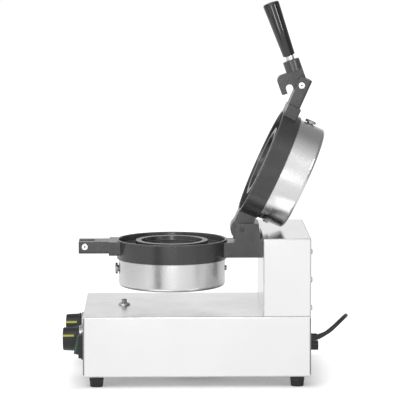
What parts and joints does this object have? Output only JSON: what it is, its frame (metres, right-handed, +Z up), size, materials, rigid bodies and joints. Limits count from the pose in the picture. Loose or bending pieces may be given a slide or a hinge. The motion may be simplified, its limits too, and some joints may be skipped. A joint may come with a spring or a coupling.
{
  "type": "ice cream panini press",
  "caption": "Countertop press with a hinged pair of round cast plates, a latching grip, a steel base box with knobs and a rocker, and a mains cord.",
  "frame": {"origin": "centre of the object's own bounding box, without its cord, on the surface that the feet stand on", "axes": "+X to the right seen from the front, +Y from the knobs to the cord, +Z up; the lid stands open"},
  "size_m": [0.3655, 0.4401, 0.5704],
  "materials": {
    "base_steel": "bright satin, deck polished",
    "bottom_steel": "plain sheet",
    "zinc_screw": "zinc plated",
    "foot_rubber": "matt",
    "bright_steel": "bright",
    "washer_steel": "turned",
    "tower_steel": "polished",
    "plain_steel": "mill finish",
    "coated_casting": "non-stick coat over a casting",
    "dark_casting": "satin dark coat",
    "housing_steel": "spun and brushed round",
    "bronze": "sintered",
    "element_sheath": "heat tinted",
    "mineral_wool": "fibrous",
    "grip_black": "glossy",
    "knob_black": "satin",
    "line_yellow": "paint",
    "dial_silver": "anodised with a printed scale",
    "control_black": "moulded",
    "switch_black": "moulded",
    "rocker_green": "clear tinted moulding",
    "cord_rubber": "satin rubber",
    "plug_black": "moulded",
    "plug_brass": "bright"
  },
  "bodies": {
    "press": {"base_shell": "base_steel", "bottom_plate": "bottom_steel", "bottom_plate_screws": "zinc_screw", "foot_screws": "zinc_screw", "tower_cover_screws": "zinc_screw", "bracket_bolts": "zinc_screw", "lower_fork_screws": "zinc_screw", "lower_strap_screw": "zinc_screw", "rubber_feet": "foot_rubber", "deck_screw": "bright_steel", "lower_housing_bolt": "bright_steel", "lower_housing_screw": "bright_steel", "lower_latch_pin": "bright_steel", "hinge_pin": "bright_steel", "deck_cup_washer": "washer_steel", "tower_shell": "tower_steel", "tower_back_cover": "tower_steel", "tower_stiffener": "plain_steel", "lower_strap": "plain_steel", "lower_plate": "coated_casting", "lower_latch_fork": "dark_casting", "lower_housing": "housing_steel", "lower_heating_element": "element_sheath", "thermostat_probe": "element_sheath", "lower_insulation": "mineral_wool", "dial_plates": "dial_silver", "thermostat_body": "control_black", "timer_body": "control_black", "terminal_block": "control_black", "switch_housing": "switch_black", "fuse_holder_body": "switch_black", "cable_gland": "switch_black", "gland_locknut": "switch_black", "power_cord": "cord_rubber", "cord_coil": "cord_rubber", "plug_body": "plug_black", "plug_pins": "plug_brass"},
    "lid": {"upper_plate": "coated_casting", "hinge_bushes": "bronze", "upper_housing": "housing_steel", "upper_heating_element": "element_sheath", "upper_strap": "plain_steel", "upper_strap_screw": "zinc_screw", "upper_insulation": "mineral_wool", "upper_latch_fork": "dark_casting", "upper_fork_screws": "zinc_screw", "upper_housing_bolt": "bright_steel", "upper_housing_screw": "bright_steel", "latch_pivot_pin": "bright_steel"},
    "latch": {"latch_lever": "dark_casting", "grip_stud": "bright_steel", "grip_nut": "bright_steel", "handle_grip": "grip_black"},
    "thermostat_dial": {"thermostat_knob": "knob_black", "thermostat_knob_line": "line_yellow"},
    "timer_dial": {"timer_knob": "knob_black", "timer_knob_line": "line_yellow"},
    "rocker": {"power_rocker": "rocker_green"},
    "fuse_cover": {"fuse_cap": "switch_black"}
  },
  "joints": [
    {"name": "lid_hinge", "type": "hinge", "parent": "press", "child": "lid", "pos_m": [0, 0.0729, 0.2243], "axis": [1, 0, 0], "range_deg": [0, 114.3]},
    {"name": "latch_pivot", "type": "hinge", "parent": "lid", "child": "latch", "pos_m": [0, 0.1632, 0.44324], "axis": [1, 0, 0], "range_deg": [-86, 0]},
    {"name": "thermostat_turn", "type": "hinge", "parent": "press", "child": "thermostat_dial", "pos_m": [-0.062, -0.1672, 0.064], "axis": [0, 1, 0], "range_deg": [-65, 205]},
    {"name": "timer_turn", "type": "hinge", "parent": "press", "child": "timer_dial", "pos_m": [0.062, -0.1672, 0.064], "axis": [0, 1, 0], "range_deg": [-65, 205]},
    {"name": "rocker_tip", "type": "hinge", "parent": "press", "child": "rocker", "pos_m": [0.1005, -0.1697, 0.06], "axis": [1, 0, 0], "range_deg": [0, 24]},
    {"name": "fuse_cap_turn", "type": "hinge", "parent": "press", "child": "fuse_cover", "pos_m": [0.07, 0.1728, 0.0542], "axis": [0, 1, 0], "range_deg": [0, 60]}
  ],
  "couplings": [
    {"joint": "latch_pivot", "follows": "lid_hinge", "ratio": -0.75}
  ]
}
